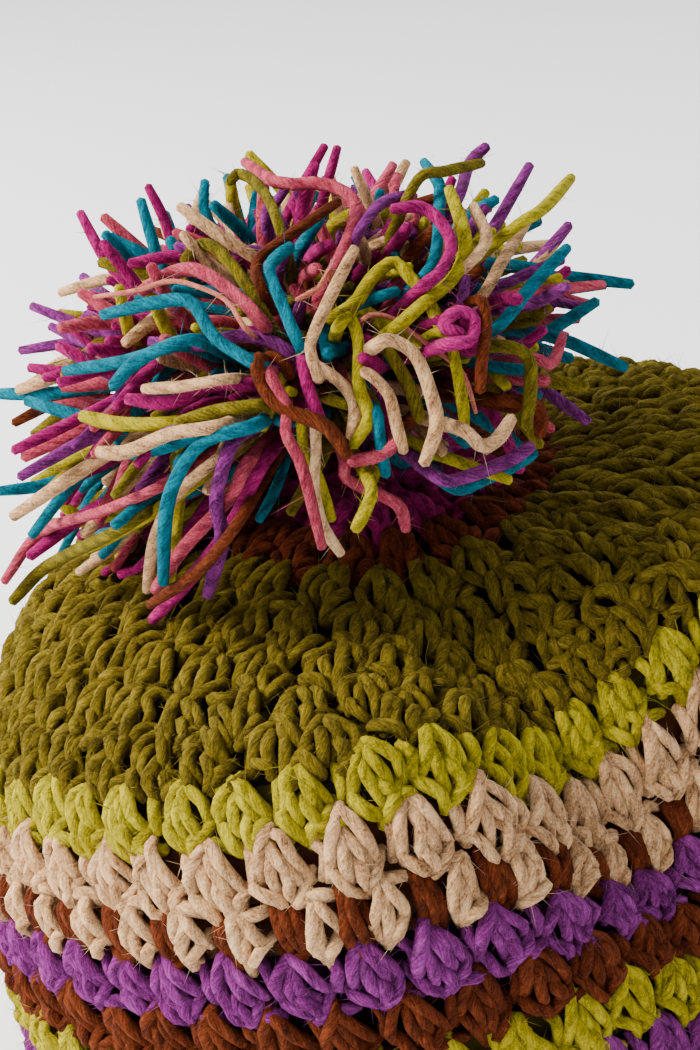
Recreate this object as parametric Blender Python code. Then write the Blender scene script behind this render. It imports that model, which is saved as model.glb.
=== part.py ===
"""A crocheted wool hat with a big yarn pom-pom, standing on its rim.

The hat is worked from the crown's centre down in rounds of coloured wool. Each colour is a
ring of thick fabric, one object each, set edge to edge. All rings are cut from one soft
surface: a loft through a few sections, pushed in by a few folds. The pom-pom is a wound core
with locks of yarn fused to it, and sits on the crown's centre.

Metres, +Z up. The front faces -Y. A bearing is measured round the hat from the front,
growing towards +X. "Along" runs down the fabric from the crown's centre, 0, to the rim, 1.
"""

import math

import bmesh
import bpy
import numpy as np
from mathutils import Vector

# Driving dimensions
HAT_RADIUS = 0.090
CROWN_HEIGHT = 0.145
FABRIC_THICKNESS = 0.006
ROUND_GAP = 0.0003
POMPOM_HALF_WIDTH = 0.075
POMPOM_HALF_DEPTH = 0.069
POMPOM_RISE = 0.086
CORE_RADIUS = 0.027
CORE_SEAT_GAP = 0.0003
LOCK_RADIUS = 0.0062
LOCK_CLEARANCE = 0.0020

# Mesh fineness
COLUMNS = 48
LOCK_COUNT = 76
LOCK_SIDES = 6
LOCK_STEPS = 4
CROWN_SAMPLES = (73, 49)
SMALL_STEP = 1e-3
SEED = 11

# Lie of the locks: the rise of the lowest and the highest, how far inside the core they start
# as a share of its radius, and the range of their sag, sweep, length and thickness, as shares
# of their reach and of LOCK_RADIUS
LOWEST_LOCK_DEG = -25.0
HIGHEST_LOCK_DEG = 76.0
LOCK_ROOT_SHARE = 0.55
LOCK_SAG_SHARES = (0.075, 0.25)
LOCK_SWEEP_SHARES = (-0.20, 0.20)
LOCK_LENGTH_SHARES = (0.88, 1.0)
LOCK_RADIUS_SHARES = (0.85, 1.1)

# How far round a lock's middle the crown is felt for, in lock radii
LOCK_FEELER = 3.0

# Sections of the soft form, one a row, at a share of the fabric's way from the crown's centre
# to the rim. The columns are the bearings front, front right, right, back right, back, back
# left, left and front left. Reach is a share of HAT_RADIUS, drop a share of CROWN_HEIGHT
# below the crown's centre.
REACH = {
    0.000: (0.000, 0.000, 0.000, 0.000, 0.000, 0.000, 0.000, 0.000),
    0.175: (0.430, 0.420, 0.430, 0.430, 0.420, 0.415, 0.430, 0.440),
    0.320: (0.775, 0.720, 0.750, 0.765, 0.760, 0.780, 0.820, 0.820),
    0.470: (1.030, 0.940, 0.980, 0.990, 0.990, 1.000, 1.050, 1.070),
    0.588: (1.115, 1.025, 1.035, 1.030, 1.025, 1.030, 1.100, 1.130),
    0.705: (1.100, 1.040, 1.045, 1.040, 1.030, 1.040, 1.100, 1.120),
    0.850: (1.060, 1.035, 1.035, 1.030, 1.020, 1.030, 1.070, 1.080),
    1.000: (1.020, 1.010, 1.010, 1.010, 1.000, 1.000, 1.030, 1.030),
}
DROP = {
    0.000: (0.000, 0.000, 0.000, 0.000, 0.000, 0.000, 0.000, 0.000),
    0.175: (0.050, 0.030, 0.010, 0.000, 0.005, 0.025, 0.030, 0.045),
    0.320: (0.080, 0.025, -0.020, -0.015, 0.015, 0.070, 0.100, 0.100),
    0.470: (0.125, 0.070, 0.070, 0.075, 0.120, 0.235, 0.300, 0.220),
    0.588: (0.300, 0.250, 0.230, 0.240, 0.300, 0.400, 0.440, 0.370),
    0.705: (0.480, 0.420, 0.400, 0.410, 0.490, 0.570, 0.590, 0.540),
    0.850: (0.715, 0.660, 0.650, 0.660, 0.730, 0.770, 0.775, 0.755),
    1.000: (1.000, 1.000, 1.000, 1.000, 1.000, 1.000, 1.000, 1.000),
}

# Folds of the slack fabric, one a row. Bearings are in degrees: where the fold's line starts
# and ends, and how far it spreads to its left and right. Starts, deepest and ends are shares
# of the fabric's way. Depth is how far the fabric moves in towards the hat's middle, a share
# of HAT_RADIUS, below 0 for a swelling. Sink is how far it drops, a share of CROWN_HEIGHT.
FOLD_COLUMNS = ("from_deg", "to_deg", "left_deg", "right_deg", "starts", "deepest", "ends", "depth", "sink")
FOLDS = (
    (2, 40, 13, 23, 0.11, 0.50, 0.94, 0.190, 0.145),
    (-24, -14, 22, 16, 0.20, 0.50, 0.88, -0.045, 0.000),
    (62, 66, 24, 26, 0.16, 0.42, 0.80, -0.060, 0.000),
    (150, 140, 16, 20, 0.24, 0.58, 0.96, 0.080, 0.030),
    (236, 248, 18, 15, 0.26, 0.56, 0.94, 0.070, 0.030),
)

# The rounds of wool from the crown's centre down, one a row: where each ends as a share of
# the fabric's way, how many facets it has on the way, and its sRGB colour.
ROUND_COLUMNS = ("name", "ends", "facets", "colour")
ROUNDS = (
    ("crown_centre", 0.118, 2, (0.58, 0.06, 0.42)),
    ("crown_brown_round", 0.176, 1, (0.36, 0.17, 0.09)),
    ("crown_olive_rounds", 0.470, 5, (0.45, 0.41, 0.08)),
    ("lime_round", 0.529, 1, (0.72, 0.68, 0.10)),
    ("cream_round", 0.588, 1, (0.86, 0.76, 0.64)),
    ("cream_brown_round", 0.647, 1, (0.60, 0.46, 0.36)),
    ("purple_round", 0.705, 1, (0.48, 0.22, 0.58)),
    ("brown_round", 0.764, 1, (0.36, 0.17, 0.09)),
    ("lower_lime_round", 0.823, 1, (0.72, 0.68, 0.10)),
    ("lower_purple_round", 0.882, 1, (0.48, 0.22, 0.58)),
    ("rim_rounds", 1.000, 2, (0.36, 0.17, 0.09)),
)
WOOL_ROUGHNESS = 0.95
POMPOM_COLOUR = (0.10, 0.48, 0.56)
SHARP_EDGE_DEG = 50.0

# Where the crown ends and the side begins, as a share of the fabric's way
CROWN_ENDS = 0.60

# Where the pom-pom's core sits beside the crown's centre, as shares of HAT_RADIUS
POMPOM_ASIDE = -0.120
POMPOM_FORWARD = 0.120


def clear_scene():
    for obj in list(bpy.data.objects):
        bpy.data.objects.remove(obj, do_unlink=True)


def wool(name, colour):
    """A plain dyed wool finish. The colour is given in sRGB."""
    material = bpy.data.materials.new(name)
    material.use_nodes = True
    shader = material.node_tree.nodes["Principled BSDF"]
    linear = [c / 12.92 if c <= 0.04045 else ((c + 0.055) / 1.055) ** 2.4 for c in colour]
    shader.inputs["Base Color"].default_value = (*linear, 1.0)
    shader.inputs["Roughness"].default_value = WOOL_ROUGHNESS
    shader.inputs["Metallic"].default_value = 0.0
    return material


def hermite(at, stations, values):
    """Smooth curve through values at stations, each value a row. Its slopes are the mean ones there."""
    stations = np.asarray(stations, float)
    values = np.asarray(values, float)
    slopes = np.gradient(values, stations, axis=0)
    low = np.clip(np.searchsorted(stations, at, side="right") - 1, 0, len(stations) - 2)
    span = stations[low + 1] - stations[low]
    u = ((at - stations[low]) / span)[..., None]
    span = span[..., None]
    return (
        values[low] * (2 * u**3 - 3 * u**2 + 1)
        + slopes[low] * span * (u**3 - 2 * u**2 + u)
        + values[low + 1] * (3 * u**2 - 2 * u**3)
        + slopes[low + 1] * span * (u**3 - u**2)
    )


def round_the_hat(columns, bearing):
    """Reads one value a bearing from evenly spaced columns, on a smooth closed curve."""
    count = columns.shape[-1]
    place = np.mod(bearing / math.tau, 1.0) * count
    low = np.floor(place).astype(int)
    u = place - low
    picks = [(low + step)[..., None] % count for step in (-1, 0, 1, 2)]
    near = [np.take_along_axis(columns, pick, -1)[..., 0] for pick in picks]
    return 0.5 * (
        2 * near[1]
        + (near[2] - near[0]) * u
        + (2 * near[0] - 5 * near[1] + 4 * near[2] - near[3]) * u**2
        + (3 * near[1] - near[0] - 3 * near[2] + near[3]) * u**3
    )


def smooth_form(bearing, along):
    """Points of the hat's outer surface before its folds."""
    reach = HAT_RADIUS * round_the_hat(hermite(along, list(REACH), list(REACH.values())), bearing)
    drop = CROWN_HEIGHT * round_the_hat(hermite(along, list(DROP), list(DROP.values())), bearing)
    return np.stack([reach * np.sin(bearing), -reach * np.cos(bearing), CROWN_HEIGHT - drop], -1)


def folds_at(bearing, along):
    """How far the folds push the fabric in and let it sink.

    Each fold is a skewed bell across its line, exp(-(aside / spread)^2), times a squared sine
    along it that starts and ends at 0 and peaks where the fold is deepest.
    """
    depth, sink = np.zeros_like(along), np.zeros_like(along)
    for row in FOLDS:
        fold = dict(zip(FOLD_COLUMNS, row))
        length = fold["ends"] - fold["starts"]
        run = np.clip((along - fold["starts"]) / length, 0, 1)
        peak = (fold["deepest"] - fold["starts"]) / length
        swell = np.sin(math.pi * run ** (math.log(0.5) / math.log(peak))) ** 2
        line = np.radians(fold["from_deg"] + (fold["to_deg"] - fold["from_deg"]) * run)
        aside = np.mod(bearing - line + math.pi, math.tau) - math.pi
        spread = np.radians(np.where(aside < 0, fold["left_deg"], fold["right_deg"]))
        bell = swell * np.exp(-((aside / spread) ** 2))
        depth += HAT_RADIUS * fold["depth"] * bell
        sink += CROWN_HEIGHT * fold["sink"] * bell
    return depth, sink


def hat_surface(bearing, along):
    """Points of the hat's outer surface: the smooth form, moved in and down by the folds."""
    bearing, along = np.broadcast_arrays(np.asarray(bearing, float), np.asarray(along, float))
    depth, sink = folds_at(bearing, along)
    inward = np.stack([-depth * np.sin(bearing), depth * np.cos(bearing), -sink], -1)
    return smooth_form(bearing, along) + inward


def outward(bearing, along):
    """Unit vectors that stand square on the hat's surface, pointing out of it."""
    along = np.clip(along, 4 * SMALL_STEP, 1 - SMALL_STEP)
    down = hat_surface(bearing, along + SMALL_STEP) - hat_surface(bearing, along - SMALL_STEP)
    across = hat_surface(bearing + SMALL_STEP, along) - hat_surface(bearing - SMALL_STEP, along)
    square = np.cross(down, across)
    return square / np.linalg.norm(square, axis=-1, keepdims=True)


def round_bearings():
    return np.linspace(0, math.tau, COLUMNS, endpoint=False)


def down_the_fabric(along):
    """Unit vectors that run down the outer surface, one a column."""
    low, high = max(along - SMALL_STEP, 0.0), min(along + SMALL_STEP, 1.0)
    run = hat_surface(round_bearings(), high) - hat_surface(round_bearings(), low)
    return run / np.linalg.norm(run, axis=-1, keepdims=True)


def ring_points(along, inside, shift=0.0):
    """One ring of points on the outside of the fabric or its inside, shifted down the fabric."""
    bearing = round_bearings()
    points = hat_surface(bearing, along) + shift * down_the_fabric(along)
    if not inside:
        return points
    square = outward(bearing, np.full(COLUMNS, along))
    if along == 1.0:
        square[:, 2] = 0.0
        square /= np.linalg.norm(square, axis=-1, keepdims=True)
    return points - FABRIC_THICKNESS * square


def skin(maker, upper, lower, turned=False):
    """Triangles between two rings of corners. Turned takes the other diagonal of each facet."""
    for i in range(max(len(upper), len(lower))):
        a, b = upper[i % len(upper)], lower[i % len(lower)]
        c, d = lower[(i + 1) % len(lower)], upper[(i + 1) % len(upper)]
        triangles = ((a, b, d), (b, c, d)) if turned else ((a, b, c), (a, c, d))
        for corners in triangles:
            if len(set(corners)) == 3:
                maker.faces.new(corners)


def fabric_ring(name, outside, inside, material):
    """Closes a ring of thick fabric. Both of its ends take the same diagonals as their neighbours'."""
    maker = bmesh.new()
    outer = [[maker.verts.new(point) for point in ring] for ring in outside]
    inner = [[maker.verts.new(point) for point in ring] for ring in inside]
    for rows in (outer, inner[::-1]):
        for upper, lower in zip(rows, rows[1:]):
            skin(maker, upper, lower)
    skin(maker, outer[-1], inner[-1])
    if len(outer[0]) > 1:
        skin(maker, inner[0], outer[0], turned=True)
    bmesh.ops.recalc_face_normals(maker, faces=maker.faces)
    mesh = bpy.data.meshes.new(name)
    maker.to_mesh(mesh)
    maker.free()
    mesh.materials.append(material)
    mesh.shade_smooth()
    mesh.set_sharp_from_angle(angle=math.radians(SHARP_EDGE_DEG))
    return bpy.data.objects.new(name, mesh)


def yarn_round(spec, starts, parts):
    """One colour of the hat: a ring of fabric, or the disc at the crown's centre."""
    stations = np.linspace(starts, spec["ends"], spec["facets"] + 1)
    shifts = np.zeros(len(stations))
    shifts[0] = ROUND_GAP / 2
    shifts[-1] = -ROUND_GAP / 2 if spec["ends"] < 1.0 else 0.0
    rings = list(zip(stations, shifts))
    outside = [ring_points(along, False, shift) for along, shift in rings]
    inside = [ring_points(along, True, shift) for along, shift in rings]
    if starts == 0.0:
        outside[0] = [(0.0, 0.0, CROWN_HEIGHT)]
        inside[0] = [(0.0, 0.0, CROWN_HEIGHT - FABRIC_THICKNESS)]
    finish = wool(spec["name"], spec["colour"])
    parts.objects.link(fabric_ring(spec["name"], outside, inside, finish))


def lock_path(turn, lift, length_share, droop, sweep):
    """The middle line of one lock: it leaves the core straight, then sags and sweeps aside."""
    heading = Vector((math.cos(lift) * math.sin(turn), -math.cos(lift) * math.cos(turn), math.sin(lift)))
    aside = Vector((math.cos(turn), math.sin(turn), 0.0))
    size = Vector((POMPOM_HALF_WIDTH, POMPOM_HALF_DEPTH, POMPOM_RISE - CORE_RADIUS))
    reach = length_share / math.sqrt(sum((heading[i] / size[i]) ** 2 for i in range(3)))
    root = CORE_RADIUS * LOCK_ROOT_SHARE
    points = []
    for step in range(LOCK_STEPS):
        share = step / (LOCK_STEPS - 1)
        run = root + (reach - LOCK_RADIUS - root) * share
        bend = share**2 * reach
        points.append(heading * run + aside * sweep * bend - Vector((0, 0, droop * bend)))
    return points


def height_of_crown():
    """A function that gives the crown's height under a place beside the crown's centre."""
    around, down = CROWN_SAMPLES
    bearing, along = np.meshgrid(np.linspace(0, math.tau, around), np.linspace(0.0, CROWN_ENDS, down))
    points = hat_surface(bearing, along).reshape(-1, 3)

    def height(place, width):
        near = np.hypot(points[:, 0] - place[0], points[:, 1] - place[1]) < width
        return points[near, 2].max() if near.any() else -math.inf

    return height


def pompom_locks(centre):
    """All locks as one mesh of tubes. A lock that would meet the crown lies just above it."""
    chance = np.random.default_rng(SEED)
    golden = math.pi * (3 - math.sqrt(5))
    lowest = math.sin(math.radians(LOWEST_LOCK_DEG))
    highest = math.sin(math.radians(HIGHEST_LOCK_DEG))
    crown = height_of_crown()
    maker = bmesh.new()
    for number in range(LOCK_COUNT):
        share = (number + 0.5) / LOCK_COUNT
        lift = math.asin(lowest + (highest - lowest) * share)
        length_share = chance.uniform(*LOCK_LENGTH_SHARES)
        droop = math.cos(lift) * chance.uniform(*LOCK_SAG_SHARES)
        sweep = chance.uniform(*LOCK_SWEEP_SHARES)
        path = lock_path(golden * number, lift, length_share, droop, sweep)
        radius = LOCK_RADIUS * chance.uniform(*LOCK_RADIUS_SHARES)
        rings = []
        for step, point in enumerate(path):
            ahead = path[min(step + 1, LOCK_STEPS - 1)] - path[max(step - 1, 0)]
            across = ahead.cross(Vector((0.0, 0.0, 1.0))).normalized()
            upward = across.cross(ahead).normalized()
            middle = centre + point
            lowest_middle = crown(middle, LOCK_FEELER * LOCK_RADIUS) + LOCK_CLEARANCE + radius
            middle.z = max(middle.z, lowest_middle)
            ring = []
            for side in range(LOCK_SIDES):
                angle = math.tau * (side + 0.5) / LOCK_SIDES
                spoke = across * math.cos(angle) + upward * math.sin(angle)
                ring.append(maker.verts.new(middle + spoke * radius))
            rings.append(ring)
        for upper, lower in zip(rings, rings[1:]):
            skin(maker, upper, lower)
        maker.faces.new(rings[0])
        maker.faces.new(rings[-1][::-1])
    bmesh.ops.recalc_face_normals(maker, faces=maker.faces)
    mesh = bpy.data.meshes.new("pompom_locks")
    maker.to_mesh(mesh)
    maker.free()
    return bpy.data.objects.new("pompom_locks", mesh)


def pompom(parts, helpers):
    """The pom-pom: a wound core with its locks fused to it, seated on the crown's centre."""
    aside, forward = HAT_RADIUS * POMPOM_ASIDE, HAT_RADIUS * POMPOM_FORWARD
    along = np.linspace(0.0, CROWN_ENDS, 10 * COLUMNS)
    under = hat_surface(np.full(len(along), math.atan2(aside, forward)), along)
    away = np.abs(np.hypot(under[:, 0], under[:, 1]) - math.hypot(aside, forward))
    seat_height = float(under[away.argmin(), 2])
    centre = Vector((aside, -forward, seat_height + CORE_SEAT_GAP + CORE_RADIUS))
    bpy.ops.mesh.primitive_ico_sphere_add(subdivisions=3, radius=CORE_RADIUS, location=centre)
    core = bpy.context.object
    core.name = "pompom"
    core.data.materials.append(wool("pompom", POMPOM_COLOUR))
    for holder in list(core.users_collection):
        holder.objects.unlink(core)
    parts.objects.link(core)
    locks = pompom_locks(centre)
    locks.hide_render = True
    locks.display_type = "WIRE"
    helpers.objects.link(locks)
    fuse = core.modifiers.new("fuse_locks", "BOOLEAN")
    fuse.operation = "UNION"
    fuse.object = locks
    fuse.use_self = True
    return core


def centre_on_origin(parts, carrier):
    """Moves the whole hat so that the origin is below the middle of its box, on the standing surface."""
    bpy.context.view_layer.update()
    graph = bpy.context.evaluated_depsgraph_get()
    corners = []
    for part in parts.objects:
        shown = part.evaluated_get(graph)
        corners += [shown.matrix_world @ Vector(corner) for corner in shown.bound_box]
    for axis in (0, 1):
        values = [corner[axis] for corner in corners]
        carrier.location[axis] = -(min(values) + max(values)) / 2


def main():
    clear_scene()
    scene = bpy.context.scene
    parts = bpy.data.collections.new("pompom_hat")
    helpers = bpy.data.collections.new("pompom_hat_helpers")
    scene.collection.children.link(parts)
    scene.collection.children.link(helpers)
    starts = 0.0
    for row in ROUNDS:
        spec = dict(zip(ROUND_COLUMNS, row))
        yarn_round(spec, starts, parts)
        starts = spec["ends"]
    pompom(parts, helpers)
    carrier = bpy.data.objects.new("hat_carrier", None)
    helpers.objects.link(carrier)
    centre_on_origin(parts, carrier)
    for obj in [*parts.objects, *helpers.objects]:
        if obj != carrier:
            obj.parent = carrier


main()
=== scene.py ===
"""The looks of a crocheted wool hat with a big loose yarn pom-pom.

Every round of the hat is worked stitch by stitch: leaf-shaped groups of yarn, laid on the
same soft surface that the frame's solids were cut from. The pom-pom is several hundred cut
lengths of yarn. Metres, +Z up, the front faces -Y.
"""

import math

import bpy
import numpy as np
from mathutils import Matrix, Vector


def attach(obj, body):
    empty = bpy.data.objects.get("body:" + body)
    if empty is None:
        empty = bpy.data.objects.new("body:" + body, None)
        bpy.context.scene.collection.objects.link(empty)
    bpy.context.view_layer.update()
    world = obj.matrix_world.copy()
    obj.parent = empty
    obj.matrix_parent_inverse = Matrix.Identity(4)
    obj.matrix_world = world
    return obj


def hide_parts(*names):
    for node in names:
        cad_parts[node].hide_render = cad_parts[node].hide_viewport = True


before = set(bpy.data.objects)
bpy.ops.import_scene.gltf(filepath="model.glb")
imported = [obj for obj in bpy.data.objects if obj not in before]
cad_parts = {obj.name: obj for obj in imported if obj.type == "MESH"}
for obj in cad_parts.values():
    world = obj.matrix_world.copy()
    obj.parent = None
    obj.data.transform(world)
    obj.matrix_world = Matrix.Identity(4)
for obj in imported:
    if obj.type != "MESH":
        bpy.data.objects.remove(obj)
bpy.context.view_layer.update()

MM = 0.001

# The fabric: the same soft surface as the frame's solids. REACH and DROP are its sections, by
# the share of the way from the crown's centre to the rim. They give how far out and down the
# fabric is, at eight even bearings from the front on, as shares of the radius and the height.
HAT_RADIUS = 0.090
CROWN_HEIGHT = 0.145
FABRIC_THICKNESS = 6.0 * MM
REACH = {
    0.000: (0.000, 0.000, 0.000, 0.000, 0.000, 0.000, 0.000, 0.000),
    0.175: (0.430, 0.420, 0.430, 0.430, 0.420, 0.415, 0.430, 0.440),
    0.320: (0.775, 0.720, 0.750, 0.765, 0.760, 0.780, 0.820, 0.820),
    0.470: (1.030, 0.940, 0.980, 0.990, 0.990, 1.000, 1.050, 1.070),
    0.588: (1.115, 1.025, 1.035, 1.030, 1.025, 1.030, 1.100, 1.130),
    0.705: (1.100, 1.040, 1.045, 1.040, 1.030, 1.040, 1.100, 1.120),
    0.850: (1.060, 1.035, 1.035, 1.030, 1.020, 1.030, 1.070, 1.080),
    1.000: (1.020, 1.010, 1.010, 1.010, 1.000, 1.000, 1.030, 1.030),
}
DROP = {
    0.000: (0.000, 0.000, 0.000, 0.000, 0.000, 0.000, 0.000, 0.000),
    0.175: (0.050, 0.030, 0.010, 0.000, 0.005, 0.025, 0.030, 0.045),
    0.320: (0.080, 0.025, -0.020, -0.015, 0.015, 0.070, 0.100, 0.100),
    0.470: (0.125, 0.070, 0.070, 0.075, 0.120, 0.235, 0.300, 0.220),
    0.588: (0.300, 0.250, 0.230, 0.240, 0.300, 0.400, 0.440, 0.370),
    0.705: (0.480, 0.420, 0.400, 0.410, 0.490, 0.570, 0.590, 0.540),
    0.850: (0.715, 0.660, 0.650, 0.660, 0.730, 0.770, 0.775, 0.755),
    1.000: (1.000, 1.000, 1.000, 1.000, 1.000, 1.000, 1.000, 1.000),
}

# The folds: the bearings that each runs from and to, its spread on either side, where down
# the fabric it starts, is deepest and ends, and how far it takes the fabric in and down.
FOLD_COLUMNS = ("from_deg", "to_deg", "left_deg", "right_deg", "starts", "deepest", "ends", "depth", "sink")
FOLDS = (
    (2, 40, 13, 23, 0.11, 0.50, 0.94, 0.190, 0.145),
    (-24, -14, 22, 16, 0.20, 0.50, 0.88, -0.045, 0.000),
    (62, 66, 24, 26, 0.16, 0.42, 0.80, -0.060, 0.000),
    (150, 140, 16, 20, 0.24, 0.58, 0.96, 0.080, 0.030),
    (236, 248, 18, 15, 0.26, 0.56, 0.94, 0.070, 0.030),
)

# The share of the fabric's way that one round takes, and the step that slopes are read with
ROUND_HEIGHT = 0.0588
SMALL_STEP = 1e-3

# The yarn: a chunky two-ply wool, sunk a little into the fabric that its stitches make. A
# strand's radius is a share of YARN_RADIUS between the two sizes, and is YARN_ENDS of that at
# its ends and YARN_SWELL more in its middle.
YARN_RADIUS = 1.40 * MM
YARN_SIZES = (0.86, 1.10)
YARN_ENDS = 0.86
YARN_SWELL = 0.20
YARN_SIDES = 6
YARN_TONES = 0.07
LOWEST_YARN = 1.25 * YARN_RADIUS
TWIST_MM = 6.5
NAP_MM = 0.60
PATCH_MM = 5.0
RELIEF_MM = 0.55
STRAND_SPACING_MM = 17.0

# The stitches, and how far their points stray: the jitters in stitch widths and round
# heights, and outwards in mm, first each point and then the whole leaf.
STITCH_STEPS = 6
STITCH_SINK = 2.3 * MM
CROWN_JITTER = 0.060
ROUND_JITTER = 0.042
LEG_JITTER = 0.035
POINT_OUT_MM = 0.30
LEAF_OUT_MM = 0.25

# The fabric behind the stitches: the lobes of its outer side and the ribs of its inner one
BACKING_DEPTH = 3.4 * MM
BACKING_COLUMNS = 192
# How far the backing's two sides are drawn in the wool's shade colour: the outer one, seen between the
# stitches, is painted shade in the gaps, and the inner one is a little darker than the yarn
BACKING_SHADES = (1.0, 0.12)
STITCHES_ROUND = 48
LOBE_MM = 1.1
LOBE_SINK_MM = 0.4
RIB_MM = 0.7
STITCH_RIB_MM = 0.5
RIB_STAND_MM = 0.8
RIB_STEPS = 5
LOWEST_BACKING = 0.4 * MM

# Loose fibres: short ones everywhere, and a few long stiff ones, which wool workers call kemp.
# The shares are how many there are for each strand of a stitch.
HAIR_RADIUS = 0.070 * MM
SPIKE_BASE = 1.3
HAIR_TONE = -0.75
HAIR_ROOT = 0.85
SHORTEST_HAIR = 0.22
LOWEST_HAIR = 0.5 * MM
HAIR_SHARE = 8.0
STITCH_HAIR = 4.2 * MM
KEMP_SHARE = 0.08
KEMP_HAIR = 11.0 * MM
STRAND_HAIR = 4.4 * MM
STRAND_HAIR_COUNT = 34

# Dyed wool, sRGB: the shade in the gaps, the yarn itself and its lit fibres
WOOL = {
    "olive": ("#211a02", "#69590b", "#978530"),
    "lime": ("#4c4402", "#afa00c", "#d6ca3c"),
    "cream": ("#5a321a", "#eeb77e", "#ffe0b6"),
    "brown": ("#1f0903", "#602510", "#8e4c2a"),
    "purple": ("#260626", "#7c2476", "#ae58ac"),
    "magenta": ("#3c0222", "#a00a62", "#c83c8c"),
    "teal": ("#012c36", "#006c82", "#1694aa"),
    "rose": ("#5c1222", "#c03e58", "#e27c8c"),
    "moss": ("#282201", "#70630f", "#9c8f32"),
    "coral": ("#983e30", "#e0806a", "#f8b8a4"),
}

# A leaf of yarn, the stitch group that the striped rounds repeat. One strand a row, each
# through four points: across in stitch widths, down in round heights, out of the fabric in mm.
LEAF = (
    ((-0.04, -0.24, 2.2), (0.15, -0.06, 4.2), (0.36, 0.26, 4.1), (0.50, 0.64, 1.6)),
    ((-0.04, -0.14, 2.4), (0.08, 0.10, 4.3), (0.24, 0.40, 4.3), (0.36, 0.80, 1.8)),
    ((0.02, -0.26, 2.4), (-0.10, -0.04, 4.2), (-0.19, 0.30, 4.0), (-0.24, 0.70, 1.4)),
    ((-0.04, -0.06, 2.0), (-0.03, 0.22, 4.1), (0.03, 0.52, 4.3), (0.12, 0.90, 1.8)),
    ((-0.32, 0.46, 0.6), (-0.18, 0.64, 3.5), (0.01, 0.86, 3.9), (0.18, 1.10, 1.4)),
    ((0.54, 0.48, 0.6), (0.42, 0.70, 3.6), (0.29, 0.90, 3.9), (0.16, 1.12, 1.6)),
    ((0.10, 0.34, 2.4), (0.19, 0.56, 4.6), (0.26, 0.76, 4.4), (0.24, 1.02, 1.8)),
    ((0.24, 1.02, 1.0), (0.42, 0.88, 3.3), (0.60, 0.86, 3.3), (0.80, 1.02, 0.8)),
    ((0.56, -0.06, 1.2), (0.66, 0.14, 2.7), (0.70, 0.38, 2.8), (0.66, 0.66, 1.0)),
)

# The crown's stitch group, a V whose legs make columns down the crown
COLUMN_LEAF = (
    ((-0.02, -0.26, 2.2), (-0.15, 0.00, 4.2), (-0.25, 0.34, 3.9), (-0.28, 0.72, 1.4)),
    ((0.00, -0.24, 2.6), (0.10, 0.04, 4.4), (0.21, 0.36, 4.2), (0.28, 0.76, 1.6)),
    ((0.08, -0.14, 2.0), (0.24, 0.06, 4.0), (0.38, 0.34, 3.8), (0.48, 0.70, 1.2)),
    ((-0.10, 0.02, 2.0), (-0.06, 0.28, 4.4), (-0.01, 0.56, 4.4), (0.06, 0.90, 1.8)),
    ((0.14, 0.24, 2.4), (0.20, 0.50, 4.7), (0.25, 0.76, 4.6), (0.24, 1.08, 2.0)),
    ((-0.34, 0.42, 0.6), (-0.22, 0.62, 3.6), (-0.06, 0.84, 3.8), (0.06, 1.10, 1.6)),
    ((0.54, 0.48, 0.6), (0.46, 0.68, 3.4), (0.35, 0.88, 3.7), (0.22, 1.12, 1.6)),
    ((-0.30, 0.80, 1.0), (-0.38, 0.96, 3.4), (-0.50, 1.06, 3.4), (-0.62, 1.02, 0.8)),
)

# The cream stitch group and the long brown one, which take turns in one round
NARROW_LEAF = (
    ((0.03, -0.18, 2.4), (-0.09, 0.12, 4.4), (-0.15, 0.50, 4.2), (-0.06, 1.02, 1.4)),
    ((-0.01, -0.18, 2.8), (0.11, 0.08, 4.6), (0.23, 0.40, 4.4), (0.29, 0.74, 1.2)),
    ((0.02, 0.00, 2.4), (0.02, 0.28, 4.4), (0.03, 0.62, 4.3), (0.00, 1.06, 1.8)),
    ((0.34, 0.50, 0.6), (0.22, 0.62, 4.4), (0.09, 0.78, 4.7), (0.00, 1.00, 1.4)),
)
LONG_LEGS = (
    ((0.38, -0.18, 1.2), (0.42, 0.14, 3.5), (0.47, 0.52, 3.7), (0.48, 0.94, 1.4)),
    ((0.50, -0.20, 1.6), (0.55, 0.12, 3.9), (0.60, 0.48, 4.1), (0.62, 0.92, 1.6)),
    ((0.62, -0.14, 1.2), (0.68, 0.16, 3.5), (0.74, 0.50, 3.6), (0.76, 0.90, 1.4)),
    ((0.34, 0.74, 0.8), (0.48, 0.92, 2.8), (0.64, 0.94, 2.8), (0.78, 0.80, 0.8)),
)

# The rounds from the crown's centre down, one piece a row: the node that it replaces, its
# wool, its slot, and its rounds as (start, end, stitches), shares of the fabric's way.
ROUNDS = (
    ("crown_centre", "magenta", "magenta_wool", ((0.004, 0.060, 6), (0.060, 0.118, 12)), COLUMN_LEAF),
    ("crown_brown_round", "brown", "brown_wool", ((0.118, 0.176, 18),), COLUMN_LEAF),
    (
        "crown_olive_rounds",
        "olive",
        "olive_wool",
        ((0.176, 0.235, 24), (0.235, 0.294, 30), (0.294, 0.353, 36), (0.353, 0.411, 42), (0.411, 0.470, 46)),
        COLUMN_LEAF,
    ),
    ("lime_round", "lime", "lime_wool", ((0.470, 0.529, 48),), LEAF),
    ("cream_round", "cream", "cream_wool", ((0.529, 0.588, 48),), LEAF),
    ("cream_brown_round", "cream", "cream_and_brown_wool", ((0.588, 0.647, 48),), NARROW_LEAF),
    ("purple_round", "purple", "purple_wool", ((0.647, 0.705, 48),), LEAF),
    ("brown_round", "brown", "brown_wool", ((0.705, 0.764, 48),), LEAF),
    ("lower_lime_round", "lime", "lime_wool", ((0.764, 0.823, 48),), LEAF),
    ("lower_purple_round", "purple", "purple_wool", ((0.823, 0.882, 48),), LEAF),
    ("rim_rounds", "brown", "brown_wool", ((0.882, 0.941, 48), (0.941, 1.000, 48)), LEAF),
)

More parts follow.
